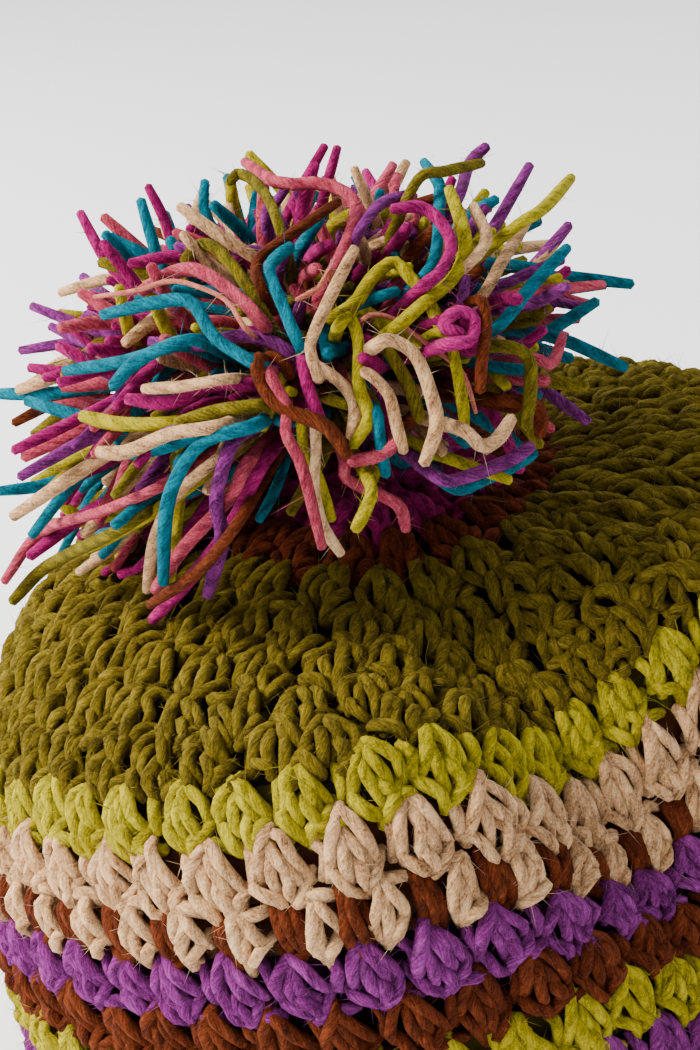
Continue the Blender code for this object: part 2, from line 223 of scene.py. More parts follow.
# The camera: the photograph's angle and framing
CAMERA_RISE_DEG = 20.0
CAMERA_ROLL_DEG = 9.0
CAMERA_DISTANCE = 0.650
PIXELS_PER_MM = 4.6
PHOTO_SIZE = (700, 1050)
CROWN_PIXEL = (385, 480)
SENSOR_MM = 36.0

# The pom-pom's yarn, and its tied middle as seen from the crown's centre
POMPOM_OFFSET = (-10.8 * MM, -10.8 * MM, 27.0 * MM)
STRAND_RADIUS = 1.32 * MM
STRAND_SIZES = (0.86, 1.14)
STRAND_WAVE = 0.06
TIP_TAPER = 0.22
STRAND_SIDES = 7
STRAND_TONES = 0.06
THREAD_RADIUS = 0.50 * MM
CROWN_STAND = 2.2 * MM
CROWN_SEARCH = 12.0 * MM

# The loose strands. They reach a share of the way to a squarish ellipsoid of these half
# sizes. Their ways out rise by LOOSE_RISE from the lowest height, on a ball of radius 1.
LOOSE_HALF = (67.0 * MM, 61.0 * MM, 46.0 * MM)
POMPOM_SQUARENESS = 2.6
LOOSE_STRANDS = 880
LOOSE_STEPS = 13
LOOSE_LOWEST = -0.60
LOOSE_RISE = 1.58
LOOSE_REACH = (0.76, 1.00)
FARTHEST_TIP = 1.04
KNOT_RADIUS = 9.0 * MM
BENDS = ((2.0, 0.28), (3.5, 0.28))
CURL_MM = 2.6
SAG = (0.08, 0.36)
SAG_POWER = 2.2

# Where the yarn parts or crowds: how much shorter strands are, and how many are left out.
# Strands are left out too that end right of, before and below this place beside the middle.
PARTED_CUT = 0.46
PARTED_SHARE = 1.4
CROWDED_CUT = 0.44
BEFORE_CROWN_MM = (-34.0, 12.0, -13.0)

# The listed strands lie in layers on an ellipsoid of these half sizes, the lowest layer
# at NEAR_LOWEST of them and the highest NEAR_SPREAD more. The hidden shares are the two
# places on the way out from the middle that each passes first.
POMPOM_HALF = (68.0 * MM, 61.0 * MM, 52.0 * MM)
NEAR_STEPS = 20
NEAR_LAYERS = 5
NEAR_LOWEST = 0.92
NEAR_SPREAD = 0.14
HIDDEN_SHARES = (0.25, 0.72)
NEARER_TRIES = 12
NEARER_MM = 2.5

# Each colour's share of the loose strands. Coral has none, only listed threads.
STRAND_COLOURS = {
    "teal": 0.16,
    "magenta": 0.14,
    "purple": 0.15,
    "cream": 0.12,
    "rose": 0.14,
    "lime": 0.13,
    "brown": 0.07,
    "moss": 0.09,
    "coral": 0.0,
}

# Strands that stand out on the pom-pom's near side, from their root to their tip, by where
# they pass in the photograph's 700 x 1050 pixels. The coral ones are thin threads.
NEAR_STRANDS = (
    (
        "rose",
        ((318, 303), (322, 291), (339, 258), (355, 218), (351, 197), (322, 183), (278, 183), (245, 162)),
    ),
    ("brown", ((262, 290), (257, 262), (286, 238), (339, 201))),
    ("cream", ((318, 375), (310, 350), (315, 330), (335, 287), (355, 248))),
    ("cream", ((310, 362), (339, 381), (355, 405), (351, 438))),
    ("teal", ((258, 365), (235, 352), (212, 335), (192, 303), (163, 301), (102, 315))),
    ("purple", ((294, 356), (269, 340), (237, 336), (200, 345), (150, 342))),
    ("rose", ((261, 322), (245, 303), (204, 273), (175, 272), (140, 292))),
    ("coral", ((245, 328), (229, 303), (204, 289), (171, 281), (135, 291), (94, 297))),
    ("coral", ((367, 316), (392, 318), (416, 336), (449, 360), (465, 377), (476, 413))),
    ("coral", ((330, 270), (318, 288), (296, 300))),
    ("moss", ((271, 328), (253, 295), (233, 267), (212, 246), (196, 248), (184, 262))),
    ("teal", ((302, 348), (292, 328), (282, 303), (269, 271), (278, 256), (292, 246))),
    ("magenta", ((424, 285), (441, 271), (451, 246), (441, 222), (420, 207), (392, 209))),
    ("teal", ((429, 270), (437, 246), (439, 213), (439, 185), (424, 162))),
    ("lime", ((400, 324), (424, 303), (453, 279), (465, 250), (461, 222), (449, 189))),
    ("lime", ((443, 342), (429, 303), (408, 275), (392, 262), (371, 279), (355, 303), (327, 320))),
    ("lime", ((339, 326), (350, 318), (359, 344), (359, 385), (369, 418), (353, 446))),
    ("cream", ((375, 346), (392, 340), (416, 356), (431, 393), (437, 426), (424, 464))),
    ("magenta", ((367, 340), (375, 377), (388, 405), (390, 440))),
    ("cream", ((367, 373), (388, 393), (396, 422), (404, 452))),
    ("moss", ((384, 348), (408, 385), (420, 420))),
    ("teal", ((376, 410), (380, 438), (386, 476))),
    ("cream", ((463, 430), (482, 446), (498, 438), (512, 417))),
    ("teal", ((455, 488), (482, 480), (510, 467), (535, 452))),
    ("purple", ((438, 478), (462, 478), (506, 462), (532, 446))),
    ("rose", ((345, 460), (347, 479), (380, 495), (400, 507), (406, 530))),
    ("rose", ((395, 440), (380, 455), (350, 462))),
    ("lime", ((371, 487), (366, 508), (355, 530))),
    ("cream", ((314, 410), (316, 450), (314, 487), (322, 524), (341, 554))),
    ("rose", ((269, 373), (286, 405), (286, 434), (302, 467), (322, 548))),
    ("lime", ((302, 420), (304, 450), (318, 478), (332, 520))),
    ("magenta", ((302, 360), (310, 393), (322, 424))),
    ("teal", ((253, 426), (204, 442), (176, 479), (165, 520), (163, 583))),
    ("cream", ((224, 454), (176, 495), (155, 540), (147, 590))),
    ("purple", ((233, 442), (216, 499), (222, 540), (208, 595))),
    ("magenta", ((261, 467), (229, 528), (192, 577), (155, 619))),
    ("rose", ((245, 467), (229, 499), (184, 548), (155, 590))),
    ("brown", ((240, 520), (200, 570), (150, 605))),
    ("rose", ((159, 487), (102, 511), (41, 532), (4, 582))),
    ("moss", ((122, 528), (49, 565), (12, 602))),
    ("lime", ((204, 475), (155, 511), (118, 532), (90, 548))),
    ("teal", ((253, 426), (204, 434), (163, 448), (122, 455))),
    ("cream", ((220, 426), (171, 434), (127, 452), (98, 452))),
    ("magenta", ((253, 385), (212, 385), (171, 403), (127, 399))),
    ("cream", ((229, 379), (180, 387), (143, 389))),
    ("lime", ((180, 422), (122, 424), (82, 416))),
    ("moss", ((261, 405), (220, 411), (176, 424))),
    ("teal", ((190, 340), (139, 360), (112, 387))),
    ("teal", ((180, 346), (122, 362), (65, 371))),
    ("cream", ((462, 270), (486, 240), (473, 205))),
    ("cream", ((478, 300), (502, 262), (527, 222))),
    ("teal", ((494, 330), (531, 287), (567, 248))),
    ("lime", ((518, 225), (543, 209), (571, 178))),
    ("purple", ((455, 205), (469, 165), (487, 146))),
    ("moss", ((418, 180), (445, 171), (482, 163))),
    ("purple", ((355, 240), (380, 205), (412, 193))),
    ("moss", ((282, 234), (265, 193), (241, 174), (229, 182))),
    ("brown", ((478, 300), (486, 324), (482, 360), (480, 392))),
    ("brown", ((514, 401), (531, 401), (541, 416), (539, 436))),
    ("moss", ((498, 346), (527, 356), (531, 385), (526, 428))),
    ("rose", ((531, 358), (551, 364), (563, 336))),
    ("purple", ((461, 275), (463, 303), (476, 322))),
    ("magenta", ((446, 345), (470, 340), (474, 318), (456, 312), (444, 326), (462, 334))),
    ("magenta", ((440, 320), (452, 340), (470, 352), (478, 334), (462, 322))),
    ("brown", ((257, 360), (264, 388), (284, 409), (326, 426), (348, 456))),
    ("brown", ((262, 372), (268, 358), (284, 362), (290, 378))),
    ("lime", ((445, 334), (461, 393), (465, 428))),
)


def linear(colour):
    """The linear colour of an sRGB hex value."""
    parts = [int(colour[i : i + 2], 16) / 255 for i in (1, 3, 5)]
    return (*[c / 12.92 if c <= 0.04045 else ((c + 0.055) / 1.055) ** 2.4 for c in parts], 1.0)


def unit(ways):
    """The same ways, each a length of 1."""
    return ways / (np.linalg.norm(ways, axis=-1, keepdims=True) + 1e-12)


def add(tree, kind, links=None, **settings):
    """Adds a node. Links gives an input by name or place: a value, or another node's output."""
    new = tree.nodes.new(kind)
    for name, value in settings.items():
        setattr(new, name, value)
    for name, value in (links or {}).items():
        if isinstance(value, bpy.types.NodeSocket):
            tree.links.new(value, new.inputs[name])
        else:
            new.inputs[name].default_value = value
    return new


def hermite(at, stations, values):
    """Smooth curve through values at stations: cubic pieces, each station's slope the mean one."""
    stations, values = np.asarray(stations, float), np.asarray(values, float)
    slopes = np.gradient(values, stations, axis=0)
    low = np.clip(np.searchsorted(stations, at, side="right") - 1, 0, len(stations) - 2)
    span = (stations[low + 1] - stations[low])[..., None]
    u = (at - stations[low])[..., None] / span
    ends = values[low] * (2 * u**3 - 3 * u**2 + 1) + values[low + 1] * (3 * u**2 - 2 * u**3)
    return ends + span * (slopes[low] * (u**3 - 2 * u**2 + u) + slopes[low + 1] * (u**3 - u**2))


def round_the_hat(columns, bearing):
    """Reads evenly spaced columns at a bearing, on a closed curve of cubic pieces."""
    count = columns.shape[-1]
    place = np.mod(bearing / math.tau, 1.0) * count
    low = np.floor(place).astype(int)
    u = place - low
    near = [
        np.take_along_axis(columns, (low + step)[..., None] % count, -1)[..., 0]
        for step in (-1, 0, 1, 2)
    ]
    return 0.5 * (
        2 * near[1]
        + (near[2] - near[0]) * u
        + (2 * near[0] - 5 * near[1] + 4 * near[2] - near[3]) * u**2
        + (3 * near[1] - near[0] - 3 * near[2] + near[3]) * u**3
    )


def crown_place():
    """Where the crown's centre stands: the highest corner of the frame's crown disc."""
    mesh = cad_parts["crown_centre"].data
    places = np.empty(len(mesh.vertices) * 3)
    mesh.vertices.foreach_get("co", places)
    places = places.reshape(-1, 3)
    return places[places[:, 2].argmax()]


CROWN = crown_place()


def smooth_form(bearing, along):
    """Points of the fabric before its folds: reach and drop, read from the sections."""
    reach = HAT_RADIUS * round_the_hat(hermite(along, list(REACH), list(REACH.values())), bearing)
    drop = CROWN_HEIGHT * round_the_hat(hermite(along, list(DROP), list(DROP.values())), bearing)
    flat = np.stack([CROWN[0] + reach * np.sin(bearing), CROWN[1] - reach * np.cos(bearing)], -1)
    return np.concatenate([flat, (CROWN_HEIGHT - drop)[..., None]], -1)


def fabric(bearing, along):
    """Points of the fabric's outer face.

    Each fold is a skewed bell across its line, exp(-(aside / spread)^2), times a squared sine
    along it that peaks where the fold is deepest. It moves the form towards the hat's middle
    and lets it sink.
    """
    bearing, along = np.broadcast_arrays(np.asarray(bearing, float), np.asarray(along, float))
    depth, sink = np.zeros(along.shape), np.zeros(along.shape)
    for row in FOLDS:
        fold = dict(zip(FOLD_COLUMNS, row))
        length = fold["ends"] - fold["starts"]
        run = np.clip((along - fold["starts"]) / length, 0, 1)
        peak = (fold["deepest"] - fold["starts"]) / length
        swell = np.sin(math.pi * run ** (math.log(0.5) / math.log(peak))) ** 2
        line = np.radians(fold["from_deg"] + (fold["to_deg"] - fold["from_deg"]) * run)
        aside = np.mod(bearing - line + math.pi, math.tau) - math.pi
        spread = np.radians(np.where(aside < 0, fold["left_deg"], fold["right_deg"]))
        bell = swell * np.exp(-((aside / spread) ** 2))
        depth += HAT_RADIUS * fold["depth"] * bell
        sink += CROWN_HEIGHT * fold["sink"] * bell
    inward = np.stack([-depth * np.sin(bearing), depth * np.cos(bearing), -sink], -1)
    return smooth_form(bearing, along) + inward


def outward(bearing, along):
    """Unit vectors square on the fabric: the cross product of the ways down it and round it."""
    along = np.clip(along, 4 * SMALL_STEP, 1 - SMALL_STEP)
    down = fabric(bearing, along + SMALL_STEP) - fabric(bearing, along - SMALL_STEP)
    across = fabric(bearing + SMALL_STEP, along) - fabric(bearing - SMALL_STEP, along)
    return unit(np.cross(down, across))


def on_fabric(bearing, along, lift):
    """Points that stand lift above the fabric's outer face, square to it."""
    along = np.clip(along, 0.0, 1.0)
    return fabric(bearing, along) + lift[..., None] * outward(bearing, along)


class Weave:
    """Gathers arrays of corners, quads, triangles, UVs and tones, and makes one mesh of them.

    A tone above 0 makes the wool darker, and one below 0 paler.
    """

    def __init__(self):
        self.corners, self.tones, self.count = [], [], 0
        self.quads, self.quad_maps = [], []
        self.tips, self.tip_maps = [], []

    def sheet(self, points, tone, lengths, closed=False):
        """Quads over sheets of points [sheet, along, round] that wrap round. Gives their places.

        U is the share of the way round and V the length along in mm. A closed sheet wraps
        along its length too.
        """
        sheets, rows, columns = points.shape[:3]
        place = np.arange(sheets * rows * columns).reshape(sheets, rows, columns) + self.count
        r = np.arange(rows if closed else rows - 1)[:, None]
        c = np.arange(columns)
        r2, c2 = (r + 1) % rows, (c + 1) % columns
        quads = np.stack([place[:, r, c], place[:, r, c2], place[:, r2, c2], place[:, r2, c]], -1)
        low_v = np.broadcast_to(lengths[:, r], quads.shape[:3])
        high_v = np.broadcast_to(lengths[:, r + 1], quads.shape[:3])
        low_u = np.broadcast_to(c / columns, quads.shape[:3])
        high_u = low_u + 1 / columns
        uv = np.stack([low_u, low_v, high_u, low_v, high_u, high_v, low_u, high_v], -1)
        self.corners.append(points.reshape(-1, 3))
        self.quads.append(quads.reshape(-1))
        self.quad_maps.append(uv.reshape(-1, 2))
        self.tones.append(np.broadcast_to(tone, (sheets, rows, columns)).reshape(-1))
        self.count += sheets * rows * columns
        return place

    def cap(self, points, ring, tone, lengths, turned):
        """Triangles from rings of places [tube, round] to one point each, which closes a tube."""
        tubes, sides = ring.shape
        place = np.broadcast_to(np.arange(tubes)[:, None] + self.count, ring.shape)
        following = np.roll(ring, -1, axis=1)
        sweep = (following, ring, place) if turned else (ring, following, place)
        self.tips.append(np.stack(sweep, -1).reshape(-1))
        share = np.broadcast_to(np.arange(sides) / sides, ring.shape)
        level = np.broadcast_to(lengths[:, None], ring.shape)
        after = share + 1 / sides
        first, second = (after, share) if turned else (share, after)
        uv = np.stack([first, level, second, level, share, level], -1)
        self.tip_maps.append(uv.reshape(-1, 2))
        self.corners.append(points)
        self.tones.append(np.broadcast_to(tone, (tubes,)).reshape(-1))
        self.count += tubes

    def tubes(self, paths, radius, sides, tone, blunt=0.6):
        """Closed round tubes along paths [tube, step, xyz]. Blunt is how far each tip stands out.

        At each step the circle's two axes are the step before's, turned with the path by
        taking out what lies along it. The circle is radius times (cos, sin) of the turn. Each
        end is closed by triangles to one point, which stands out by blunt times the radius.
        """
        ahead = unit(np.gradient(paths, axis=1))
        across = np.empty_like(paths)
        level = np.abs(ahead[:, :1, 2:]) < 0.8
        helper = np.where(level, (0.0, 0.0, 1.0), (1.0, 0.0, 0.0))[:, 0]
        for step in range(paths.shape[1]):
            helper = unit(helper - (helper * ahead[:, step]).sum(-1, keepdims=True) * ahead[:, step])
            across[:, step] = helper
        square = np.cross(ahead, across)
        radius = np.broadcast_to(radius, paths.shape[:2])
        turn = np.arange(sides) * math.tau / sides
        ring = across[:, :, None] * np.cos(turn)[:, None] + square[:, :, None] * np.sin(turn)[:, None]
        body = (paths[:, :, None] + radius[:, :, None, None] * ring)[:, :, ::-1]
        run = np.linalg.norm(np.diff(paths, axis=1), axis=-1) / MM
        lengths = np.concatenate([np.zeros((len(paths), 1)), np.cumsum(run, 1)], 1)
        lengths = lengths + STRAND_SPACING_MM * np.arange(len(paths))[:, None]
        tone = np.broadcast_to(tone, (len(paths),))
        place = self.sheet(body, tone[:, None, None], lengths)
        first = paths[:, 0] - blunt * radius[:, :1] * ahead[:, 0]
        last = paths[:, -1] + blunt * radius[:, -1:] * ahead[:, -1]
        self.cap(first, place[:, 0], tone, lengths[:, 0], turned=True)
        self.cap(last, place[:, -1], tone, lengths[:, -1], turned=False)

    def spikes(self, roots, points, radius, tone):
        """Closed thin spikes of four triangles: a small base round each root, drawn to its point."""
        ahead = unit(points - roots)
        level = np.abs(ahead[:, 2:]) < 0.8
        across = unit(np.cross(ahead, np.where(level, (0.0, 0.0, 1.0), (1.0, 0.0, 0.0))))
        square = np.cross(ahead, across)
        turn = np.arange(3) * math.tau / 3
        ring = across[:, None] * np.cos(turn)[:, None] + square[:, None] * np.sin(turn)[:, None]
        corners = np.concatenate([roots[:, None] + radius * ring, points[:, None]], 1)
        sides = np.array([(0, 1, 3), (1, 2, 3), (2, 0, 3), (0, 2, 1)])
        place = np.arange(len(roots))[:, None, None] * 4 + sides + self.count
        flat = np.array([(0.0, 0.0), (1 / 3, 0.0), (2 / 3, 0.0), (0.5, 3.0)])
        self.tips.append(place.reshape(-1))
        self.tip_maps.append(np.tile(flat[sides].reshape(-1, 2), (len(roots), 1)))
        self.corners.append(corners.reshape(-1, 3))
        self.tones.append(np.full(4 * len(roots), tone))
        self.count += 4 * len(roots)

    def mesh(self, name):
        """The gathered arrays as a mesh object with the UV map yarn and the attribute tone."""
        corners = np.concatenate(self.corners)
        quads, tips = np.concatenate(self.quads), np.concatenate([*self.tips, np.zeros(0, int)])
        loops = np.concatenate([quads, tips])
        starts = np.concatenate([np.arange(0, quads.size, 4), quads.size + np.arange(0, tips.size, 3)])
        maps = np.concatenate([*self.quad_maps, *self.tip_maps])
        mesh = bpy.data.meshes.new(name)
        mesh.vertices.add(len(corners))
        mesh.vertices.foreach_set("co", corners.ravel())
        mesh.loops.add(loops.size)
        mesh.loops.foreach_set("vertex_index", loops)
        mesh.polygons.add(len(starts))
        mesh.polygons.foreach_set("loop_start", starts)
        mesh.update(calc_edges=True)
        mesh.uv_layers.new(name="yarn").data.foreach_set("uv", maps.ravel())
        tones = mesh.attributes.new("tone", "FLOAT", "POINT")
        tones.data.foreach_set("value", np.concatenate(self.tones).astype(np.float32))
        mesh.validate()
        mesh.shade_smooth()
        piece = bpy.data.objects.new(name, mesh)
        bpy.context.scene.collection.objects.link(piece)
        return piece


def wool_yarn(name, tones):
    """Chunky two-ply dyed wool, spun soft: matt, felted, with a faint spiral between its plies.

    The spiral is a cosine of twice the way round plus the length over the twist, and its
    groove is darkened towards the wool's shade colour, painted shade. Fibres are noise drawn
    out along the strand: where it is high they are mixed towards the lit-fibre colour, a
    painted highlight, and where it is low they are darkened, painted shade in the creases
    between them. A finer noise all over is the felted nap, drawn a little coarser than real
    wool's, and a slow one makes the dye uneven. The tone attribute darkens or pales it on
    top: at random for each strand, and almost wholly to the shade colour on the backing,
    painted shade.
    """
    material = bpy.data.materials.new(name)
    material.use_nodes = True
    tree = material.node_tree
    shader = tree.nodes["Principled BSDF"]
    dark, middle, light = [linear(tone) for tone in tones]
    uv = add(tree, "ShaderNodeUVMap", uv_map="yarn")
    parts = add(tree, "ShaderNodeSeparateXYZ", {0: uv.outputs[0]})
    tone = add(tree, "ShaderNodeAttribute", attribute_name="tone")
    twice = add(tree, "ShaderNodeMath", {0: parts.outputs[0], 1: 2.0}, operation="MULTIPLY")
    twist = add(tree, "ShaderNodeMath", {0: parts.outputs[1], 1: TWIST_MM}, operation="DIVIDE")
    phase = add(tree, "ShaderNodeMath", {0: twice.outputs[0], 1: twist.outputs[0]}, operation="ADD")
    turns = add(tree, "ShaderNodeMath", {0: phase.outputs[0], 1: math.tau}, operation="MULTIPLY")
    wave = add(tree, "ShaderNodeMath", {0: turns.outputs[0]}, operation="COSINE")
    ply_look = {0: wave.outputs[0], 1: -1.0, 2: 0.5}
    ply = add(tree, "ShaderNodeMapRange", ply_look, interpolation_type="SMOOTHSTEP")
    slant = add(tree, "ShaderNodeMath", {0: phase.outputs[0], 1: 5.5}, operation="MULTIPLY")
    slow = add(tree, "ShaderNodeMath", {0: parts.outputs[1], 1: 0.22}, operation="MULTIPLY")
    drawn_out = {0: slant.outputs[0], 1: slow.outputs[0], 2: tone.outputs["Fac"]}
    drawn = add(tree, "ShaderNodeCombineXYZ", drawn_out)
    fibre_look = {"Vector": drawn.outputs[0], "Scale": 1.6, "Detail": 5.0, "Roughness": 0.75}
    fibre = add(tree, "ShaderNodeTexNoise", fibre_look)
    place = add(tree, "ShaderNodeTexCoord")
    nap_look = {"Vector": place.outputs["Object"], "Scale": 1000 / NAP_MM, "Detail": 3.0, "Roughness": 0.7}
    nap = add(tree, "ShaderNodeTexNoise", nap_look)
    patch_look = {"Vector": place.outputs["Object"], "Scale": 1000 / PATCH_MM, "Detail": 2.0}
    patch = add(tree, "ShaderNodeTexNoise", patch_look)
    # Painted highlight: where the drawn-out fibre noise is high, the colour is mixed towards the lit-fibre
    # colour
    lit = add(tree, "ShaderNodeMapRange", {0: fibre.outputs[0], 1: 0.42, 2: 0.70, 3: -0.15, 4: 0.85})
    pale_parts = {0: tone.outputs["Fac"], 1: -1.0, 2: lit.outputs[0]}
    pale = add(tree, "ShaderNodeMath", pale_parts, operation="MULTIPLY_ADD")
    body = add(tree, "ShaderNodeMix", {0: pale.outputs[0], 6: middle, 7: light}, data_type="RGBA")
    # Painted shade: the ply groove and the low fibre noise darken the colour towards the shade colour; the
    # dye's mottle, the nap's specks and the tone are added in
    groove = add(tree, "ShaderNodeMapRange", {0: ply.outputs[0], 3: 0.26, 4: 0.0})
    mottle = add(tree, "ShaderNodeMapRange", {0: patch.outputs[0], 1: 0.30, 2: 0.70, 3: 0.22, 4: -0.06})
    speck = add(tree, "ShaderNodeMapRange", {0: nap.outputs[0], 1: 0.35, 2: 0.65, 3: 0.40, 4: -0.14})
    crease_shade = add(tree, "ShaderNodeMapRange", {0: fibre.outputs[0], 1: 0.34, 2: 0.52, 3: 0.42, 4: 0.0})
    shade = add(tree, "ShaderNodeMath", {0: groove.outputs[0], 1: mottle.outputs[0]}, operation="ADD")
    shade_and_dye = add(tree, "ShaderNodeMath", {0: shade.outputs[0], 1: crease_shade.outputs[0]}, operation="ADD")
    shade_dye_and_nap = add(tree, "ShaderNodeMath", {0: shade_and_dye.outputs[0], 1: speck.outputs[0]}, operation="ADD")
    shade_and_tone_parts = {0: shade_dye_and_nap.outputs[0], 1: tone.outputs["Fac"]}
    sunk = add(tree, "ShaderNodeMath", shade_and_tone_parts, operation="ADD", use_clamp=True)
    colour = add(tree, "ShaderNodeMix", {0: sunk.outputs[0], 6: body.outputs[2], 7: dark}, data_type="RGBA")
    plies = add(tree, "ShaderNodeMath", {0: ply.outputs[0], 1: 0.55}, operation="MULTIPLY")
    drift_parts = {0: fibre.outputs[0], 1: 1.3, 2: plies.outputs[0]}
    drift = add(tree, "ShaderNodeMath", drift_parts, operation="MULTIPLY_ADD")
    height_parts = {0: nap.outputs[0], 1: 0.8, 2: drift.outputs[0]}
    height = add(tree, "ShaderNodeMath", height_parts, operation="MULTIPLY_ADD")
    relief = {"Height": height.outputs[0], "Strength": 0.9, "Distance": RELIEF_MM * MM}
    bump = add(tree, "ShaderNodeBump", relief)
    tree.links.new(colour.outputs[2], shader.inputs["Base Color"])
    tree.links.new(bump.outputs[0], shader.inputs["Normal"])
    shader.inputs["Roughness"].default_value = 0.95
    shader.inputs["Specular IOR Level"].default_value = 0.08
    shader.inputs["Sheen Weight"].default_value = 0.30
    shader.inputs["Sheen Roughness"].default_value = 0.45
    shader.inputs["Sheen Tint"].default_value = light
    return material


def smooth_paths(points, steps):
    """Paths through four or more points each, [path, point, value], as cubic pieces."""
    count = points.shape[1]
    at = np.linspace(0, count - 1, steps + 1)
    smooth = hermite(at, np.arange(count), points.transpose(1, 0, 2).reshape(count, -1))
    return smooth.reshape(steps + 1, points.shape[0], -1).transpose(1, 0, 2)


def hairs(weave, paths, radius, count, chance, longest, rings=2):
    """Loose fibres that stand off the yarn: straight spikes, or bent threads with more rings.

    Each starts inside its strand, goes out square to it, and is swept on along a random way.
    The lengths grow from the shortest share of longest by a squared chance, so that most are
    short.
    """
    picks = chance.integers(0, len(paths), count)
    steps = chance.integers(1, paths.shape[1] - 1, count)
    roots = paths[picks, steps]
    ahead = unit(paths[picks, steps + 1] - paths[picks, steps - 1])
    out = chance.normal(size=(count, 3))
    out = unit(out - (out * ahead).sum(-1, keepdims=True) * ahead)
    sweep = chance.normal(size=(count, 3)) * 0.6 + ahead * chance.uniform(-0.9, 0.9, count)[:, None]
    share = chance.uniform(0.0, 1.0, (count, 1, 1)) ** 2
    length = longest * (SHORTEST_HAIR + (1 - SHORTEST_HAIR) * share)
    at = np.linspace(0, 1, rings)[None, :, None]
    curve = roots[:, None] + out[:, None] * (HAIR_ROOT * radius + length * at * (1 - 0.5 * at))
    curve = curve + sweep[:, None] * length * at**2
    curve[..., 2] = np.maximum(curve[..., 2], LOWEST_HAIR)
    if rings == 2:
        weave.spikes(curve[:, 0], curve[:, 1], SPIKE_BASE * HAIR_RADIUS, HAIR_TONE)
    else:
        weave.tubes(curve, HAIR_RADIUS * np.linspace(1.0, 0.45, rings), 3, HAIR_TONE, blunt=4.0)


def stitches(weave, leaf, rounds, chance, jitter):
    """The yarn of some rounds: one leaf a stitch, each leaf a little different, on the fabric.

    Every other round starts half a stitch on.
    """
    leaf = np.asarray(leaf)
    everything = []
    for starts, ends, count in rounds:
        paths = np.broadcast_to(leaf, (count, *leaf.shape)).copy()
        paths += chance.normal(size=paths.shape) * (jitter, jitter, POINT_OUT_MM)
        paths += chance.normal(size=(count, 1, 1, 3)) * (jitter, jitter, LEAF_OUT_MM)
        paths = smooth_paths(paths.reshape(-1, leaf.shape[1], 3), STITCH_STEPS)
        cell = np.repeat(np.arange(count), len(leaf))[:, None]
        phase = 0.5 * (round(starts / ROUND_HEIGHT) % 2)
        bearing = (cell + phase + paths[..., 0]) * math.tau / count
        along = starts + (ends - starts) * paths[..., 1]
        placed = on_fabric(bearing, along, paths[..., 2] * MM - STITCH_SINK)
        placed[..., 2] = np.maximum(placed[..., 2], LOWEST_YARN)
        everything.append(placed)
    paths = np.concatenate(everything)
    size = YARN_RADIUS * chance.uniform(*YARN_SIZES, (len(paths), 1))
    swell = YARN_ENDS + YARN_SWELL * np.sin(np.linspace(0, math.pi, paths.shape[1]))
    weave.tubes(paths, size * swell, YARN_SIDES, chance.normal(size=len(paths)) * YARN_TONES)
    hairs(weave, paths, YARN_RADIUS, int(len(paths) * HAIR_SHARE), chance, STITCH_HAIR)
    hairs(weave, paths, YARN_RADIUS, int(len(paths) * KEMP_SHARE), chance, KEMP_HAIR, rings=4)


def backing(weave, starts, ends, rows):
    """The fabric behind the stitches: a closed ring with a lobed front and a ribbed back.

    Across it the ring goes down the outer side and up the inner one. The outer side shows
    between the stitches, drawn almost wholly in the wool's shade colour: painted shade in the
    gaps. It is a row of lobes round the hat, which every other row of points has half a lobe
    on. The inner side swells by |sin| of the rounds down and |cos| of the stitches across, as
    the back of crochet does.
    """
    outer_along = np.linspace(starts, ends, 2 * rows + 1)
    inner_along = np.linspace(ends, starts, RIB_STEPS * rows + 1)
    flat = np.linspace(0, math.tau, BACKING_COLUMNS, endpoint=False)
    bearing, along = np.meshgrid(flat, np.concatenate([outer_along, inner_along]))
    across = STITCHES_ROUND / 2 * flat
    lobes = np.abs(np.cos(across + math.pi * (np.arange(len(outer_along))[:, None] % 2) / 2))
    outer = (LOBE_MM * lobes - LOBE_SINK_MM) * MM - BACKING_DEPTH
    down = (inner_along[:, None] - starts) / (ends - starts) * rows
    rounds_down, stitches_across = np.abs(np.sin(math.pi * down)), np.abs(np.cos(across + 2 * down))
    rib = RIB_MM * rounds_down + STITCH_RIB_MM * stitches_across
    inner = -FABRIC_THICKNESS + (RIB_STAND_MM - rib) * MM
    points = on_fabric(bearing, along, np.concatenate([outer, inner]))
    points[..., 2] = np.maximum(points[..., 2], LOWEST_BACKING)
    # The tones draw the outer side in the shade colour, painted shade between the stitches
    tone = np.repeat(BACKING_SHADES, (len(outer_along), len(inner_along)))
    lengths = np.arange(len(tone) + 1.0)[None]
    weave.sheet(points[None, :, ::-1], tone[None, :, None], lengths, closed=True)


def dress_round(name, wool, rounds, leaf, number):
    """One colour of the hat: its backing and its stitches, as one piece."""
    chance = np.random.default_rng(100 + number)
    weave = Weave()
    backing(weave, rounds[0][0], rounds[-1][1], len(rounds))
    jitter = CROWN_JITTER if wool in ("olive", "magenta") else ROUND_JITTER
    stitches(weave, leaf, rounds, chance, jitter)
    piece = weave.mesh(name + "_stitches")
    piece.data.materials.append(MATERIALS[wool])
    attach(piece, "root")
    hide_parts(name)


def dress_brown_legs():
    """The long brown stitches that stand between the cream ones."""
    chance = np.random.default_rng(77)
    weave = Weave()
    rounds = next(row[3] for row in ROUNDS if row[0] == "cream_brown_round")
    stitches(weave, LONG_LEGS, rounds, chance, LEG_JITTER)
    piece = weave.mesh("brown_legs_between_cream")
    piece.data.materials.append(MATERIALS["brown"])
    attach(piece, "root")
    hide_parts("cream_brown_round")


